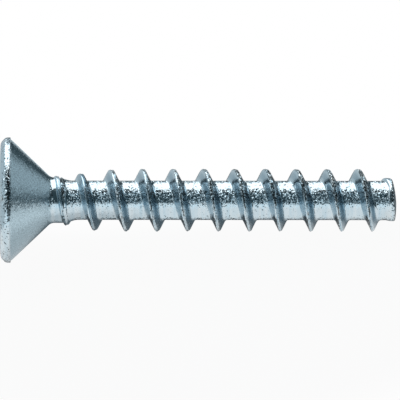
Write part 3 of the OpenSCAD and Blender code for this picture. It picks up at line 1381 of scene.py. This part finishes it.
@dataclass(frozen=True)
class PaleTable:
    """A matt, pale table top. It shows white to the eye and, in front of the screw, in the metal, and keeps
    the soft shadow.
    """

    shadow_share: float = 0.05
    shadow_mm: Pair = (18.0, 26.0)
    shade_mm: Pair = (-1.5, 0.3)
    fade_mm: Pair = (0.0, 4.0)
    painted_shadow_at_mm: Triple = (-9.0, -2.0, 0.0)
    painted_shadow_reach_mm: Pair = (2.0, 7.0)
    painted_shadow_share: float = 0.36

    def material(self) -> bpy.types.Material:
        """Makes the material. Behind the screw the metal sees the grey matt table, a painted shade, and
        round the head a painted shadow dims the white.

        Returns:
            The table's finish.
        """
        material, tree = new_tree("pale_table")
        path = add_node(tree, "LightPath").outputs
        place = add_node(tree, "NewGeometry").outputs["Position"]
        across = add_node(tree, "SeparateXYZ", Vector=place).outputs["Y"]
        reach = add_node(tree, "VectorMath", {"operation": "LENGTH"}, at_0=place).outputs["Value"]
        off = add_node(tree, "VectorMath", {"operation": "DISTANCE"}, at_0=place,
                       at_1=tuple(c * MM for c in self.painted_shadow_at_mm)).outputs["Value"]
        front, head, behind, inside = (
            add_node(tree, "MapRange", {"interpolation_type": "SMOOTHSTEP"}, Value=value,
                     From_Min=ends[1] * MM, From_Max=ends[0] * MM).outputs["Result"]
            for value, ends in ((across, self.shade_mm), (off, self.painted_shadow_reach_mm),
                                (across, self.fade_mm), (reach, self.shadow_mm)))
        # Painted shadow: round the head the white seen in the metal is dimmed; behind the screw it is cut, a
        # painted shade.
        after_painted_shadow = add_node(tree, "Math", {"operation": "MULTIPLY_ADD"}, at_0=head, at_1=-self.painted_shadow_share,
                       at_2=1.0).outputs[0]
        front = add_node(tree, "Math", {"operation": "MULTIPLY"}, at_0=front, at_1=after_painted_shadow).outputs[0]
        kept = add_node(tree, "Math", {"operation": "MULTIPLY"}, at_0=behind, at_1=inside).outputs[0]
        white_share = add_node(tree, "Math", {"operation": "MULTIPLY_ADD"}, at_0=kept,
                               at_1=-self.shadow_share, at_2=1.0).outputs[0]
        seen = add_node(tree, "Math", {"operation": "MAXIMUM"}, at_0=path["Is Glossy Ray"],
                        at_1=path["Is Transmission Ray"]).outputs[0]
        for operation, value in (("MULTIPLY", front), ("MAXIMUM", path["Is Camera Ray"]),
                                 ("MULTIPLY", white_share)):
            seen = add_node(tree, "Math", {"operation": operation}, at_0=seen, at_1=value).outputs[0]
        matt = add_node(tree, "BsdfDiffuse", Color=linear(Shade.TABLE)).outputs[0]
        white = add_node(tree, "Emission", Color=linear(Shade.LAMP), Strength=1.0).outputs[0]
        mixed = add_node(tree, "MixShader", at_0=seen, at_1=matt, at_2=white).outputs[0]
        add_node(tree, "OutputMaterial", Surface=mixed)
        return material


@dataclass(frozen=True)
class Card:
    """A pale card that the metal sees: its side, half of its width, its soft edge and its brightness."""

    side: Side
    reach_deg: float
    edge_deg: float
    level: float

    def glow(self, tree: Tree, way: Socket) -> Socket:
        """Makes the card's brightness for each direction.

        Args:
            tree: The world's node tree.
            way: The direction of the light.

        Returns:
            The brightness.
        """
        facing = add_node(tree, "VectorMath", {"operation": "DOT_PRODUCT"}, at_0=way,
                          at_1=Vector(self.side.value).normalized()).outputs["Value"]
        inner = math.cos(math.radians(self.reach_deg))
        outer = math.cos(math.radians(self.reach_deg + self.edge_deg))
        return add_node(tree, "MapRange", {"interpolation_type": "SMOOTHSTEP"}, Value=facing,
                        From_Min=outer, From_Max=inner, To_Max=self.level).outputs["Result"]


@dataclass
class Studio:
    """The table, the softbox, the pale cards, the dark room and the camera."""

    lay: Lay
    table_r: float = 0.028
    table_y: float = -0.02
    table_corners: int = 128
    frame_w_mm: float = 25.48
    centre_mm: float = 12.70
    above_mm: float = 0.021
    roll_deg: float = 0.065
    lens_mm: float = 900.0
    sensor_mm: float = 36.0
    clip: Pair = (0.1, 10.0)
    softbox_radiance: float = 1.75
    softbox_elevation: float = 46.5
    softbox_azimuth: float = 4.0
    softbox_distance: float = 0.5
    softbox_size: Pair = (0.58, 0.637)
    room_level: float = 0.16
    backdrop_deg: float = 4.0
    cards: tuple[Card, ...] = (Card(Side.FRONT, 52.0, 6.0, 1.15), Card(Side.HEAD_END, 56.0, 22.0, 0.64),
                               Card(Side.TIP_END, 18.0, 13.0, 0.56), Card(Side.BACK, 22.0, 22.0, 0.45),
                               Card(Side.SWEEP, 6.0, 5.0, 1.0))

    def build(self) -> None:
        """Sets up everything round the screw."""
        self.build_table()
        self.build_softbox()
        self.build_room()
        self.build_camera()

    def build_table(self) -> None:
        """Lays the round table top under the screw."""
        work = bmesh.new()
        bmesh.ops.create_circle(work, cap_ends=True, segments=self.table_corners, radius=self.table_r)
        mesh = bpy.data.meshes.new("table_top")
        work.to_mesh(mesh)
        work.free()
        mesh.materials.append(PaleTable().material())
        table = bpy.data.objects.new("table_top", mesh)
        table.location.y = self.table_y
        bpy.context.scene.collection.objects.link(table)

    def build_softbox(self) -> None:
        """Hangs the large softbox over the back of the table, facing the screw."""
        data = bpy.data.lights.new("softbox", "AREA")
        data.shape = "RECTANGLE"
        data.size, data.size_y = self.softbox_size
        data.energy = self.softbox_radiance * math.pi * data.size * data.size_y
        data.color = linear(Shade.LAMP)[:3]
        light = bpy.data.objects.new("softbox", data)
        up, turn = math.radians(self.softbox_elevation), math.radians(self.softbox_azimuth)
        way = Vector((math.sin(turn) * math.cos(up), math.cos(turn) * math.cos(up), math.sin(up)))
        light.matrix_world = looking(way * self.softbox_distance, Vector((0, 0, 0)), Vector((0, 0, 1)))
        bpy.context.scene.collection.objects.link(light)

    def build_room(self) -> None:
        """Sets the dark room with its pale cards, and the white backdrop behind the screw."""
        world = bpy.data.worlds.new("room")
        bpy.context.scene.world = world
        world.use_nodes = True
        tree = world.node_tree
        tree.nodes.clear()
        way = add_node(tree, "TexCoord").outputs["Generated"]
        level = self.cards[0].glow(tree, way)
        for card in self.cards[1:]:
            level = add_node(tree, "Math", {"operation": "MAXIMUM"}, at_0=level,
                             at_1=card.glow(tree, way)).outputs[0]
        cards, walls, white = (
            add_node(tree, "Background", Color=linear(shade), Strength=strength).outputs[0]
            for shade, strength in ((Shade.CARD, level), (Shade.ROOM, self.room_level), (Shade.LAMP, 1.0)))
        room = add_node(tree, "AddShader", at_0=cards, at_1=walls).outputs[0]
        path = add_node(tree, "LightPath").outputs
        seen = add_node(tree, "Math", {"operation": "MAXIMUM"}, at_0=path["Is Glossy Ray"],
                        at_1=path["Is Transmission Ray"]).outputs[0]
        facing = add_node(tree, "VectorMath", {"operation": "DOT_PRODUCT"}, at_0=way,
                          at_1=-self.lay.to_camera).outputs["Value"]
        behind = add_node(tree, "Math", {"operation": "GREATER_THAN"}, at_0=facing,
                          at_1=math.cos(math.radians(self.backdrop_deg))).outputs[0]
        for operation, value in (("MULTIPLY", behind), ("MAXIMUM", path["Is Camera Ray"])):
            seen = add_node(tree, "Math", {"operation": operation}, at_0=seen, at_1=value).outputs[0]
        mixed = add_node(tree, "MixShader", at_0=seen, at_1=room, at_2=white).outputs[0]
        add_node(tree, "OutputWorld", Surface=mixed)

    def build_camera(self) -> None:
        """Sets the camera square to the screw's axis, on the side that the photograph shows."""
        data = bpy.data.cameras.new("camera")
        data.lens, data.sensor_width = self.lens_mm, self.sensor_mm
        distance = self.frame_w_mm * MM * self.lens_mm / self.sensor_mm
        data.clip_start, data.clip_end = (share * distance for share in self.clip)
        target = self.lay.origin + (self.lay.along * self.centre_mm + self.lay.photo_up * self.above_mm) * MM
        camera = bpy.data.objects.new("camera", data)
        up = Matrix.Rotation(math.radians(self.roll_deg), 3, self.lay.to_camera) @ self.lay.photo_up
        camera.matrix_world = looking(target + self.lay.to_camera * distance, target, up)
        bpy.context.scene.collection.objects.link(camera)
        bpy.context.scene.camera = camera


def looking(place: Vector, target: Vector, up: Vector) -> Matrix:
    """Places a camera or lamp so that it faces a target.

    Args:
        place: Where it stands.
        target: What it faces.
        up: What is up in its view.

    Returns:
        Its matrix.
    """
    back = (place - target).normalized()
    right = up.cross(back).normalized()
    upper = back.cross(right)
    return Matrix.Translation(place) @ Matrix((right, upper, back)).transposed().to_4x4()


def main() -> None:
    """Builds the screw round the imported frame, and the studio round the screw."""
    logging.basicConfig(level=logging.INFO, format="%(name)s: %(message)s")
    blank = Blank()
    thread = Thread(blank)
    lay = Lay.from_frame(frame["record"], frame["nodes"]["screw"], thread)
    body = Screw(lay, blank, thread, Recess()).build()
    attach(body, "root")
    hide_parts("screw")
    log.info("%s: %d faces", body.name, len(body.data.polygons))
    Studio(lay).build()
    log.info("table, softbox, room and camera are set")
    bpy.context.scene.view_settings.view_transform = "Standard"


if __name__ == "__main__":
    main()
